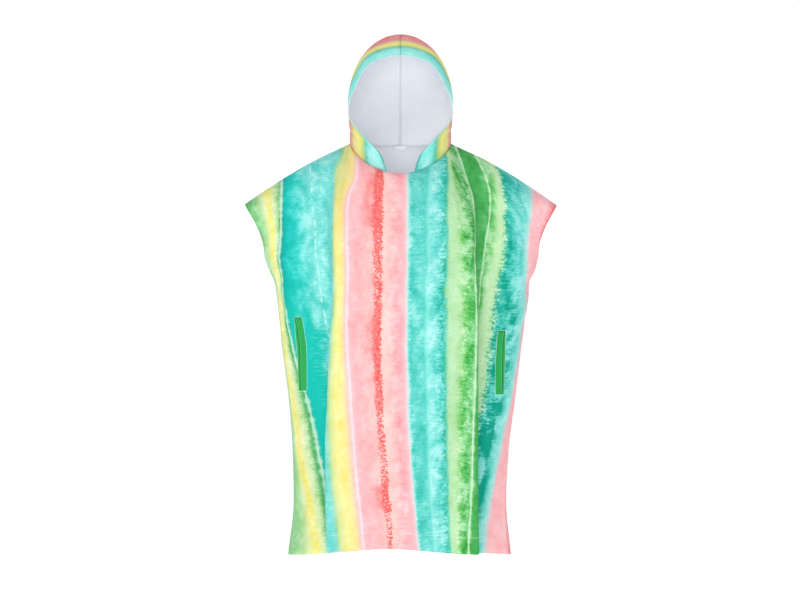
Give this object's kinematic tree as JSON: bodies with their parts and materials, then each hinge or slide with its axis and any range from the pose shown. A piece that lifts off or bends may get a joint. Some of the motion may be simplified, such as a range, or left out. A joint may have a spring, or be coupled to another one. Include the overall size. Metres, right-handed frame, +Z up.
{
  "type": "hooded bath poncho",
  "caption": "Sleeveless hooded bath poncho of printed towelling, filled out as worn, with open hood, neck, armholes and hem and two pocket welts.",
  "frame": {"origin": "where the wearer's shoulders hold it: midway between the two points where shoulder seam and hood meet", "axes": "+Z up, front of the garment towards -Y, its width along X with the garment's right half, as seen from the front, towards +X"},
  "size_m": [0.7752, 0.3396, 1.295],
  "materials": {
    "printed_towelling": "matt short-pile towelling, printed with soft watercolour stripes outside, white inside",
    "green_towelling": "matt plain green towelling",
    "white_towelling": "matt plain white cloth"
  },
  "bodies": {
    "root": {"front_panel": "printed_towelling", "back_panel": "printed_towelling", "hood_left": "printed_towelling", "hood_right": "printed_towelling", "pocket_welt_left": "green_towelling", "pocket_welt_right": "green_towelling", "neck_tab": "white_towelling"}
  },
  "joints": []
}
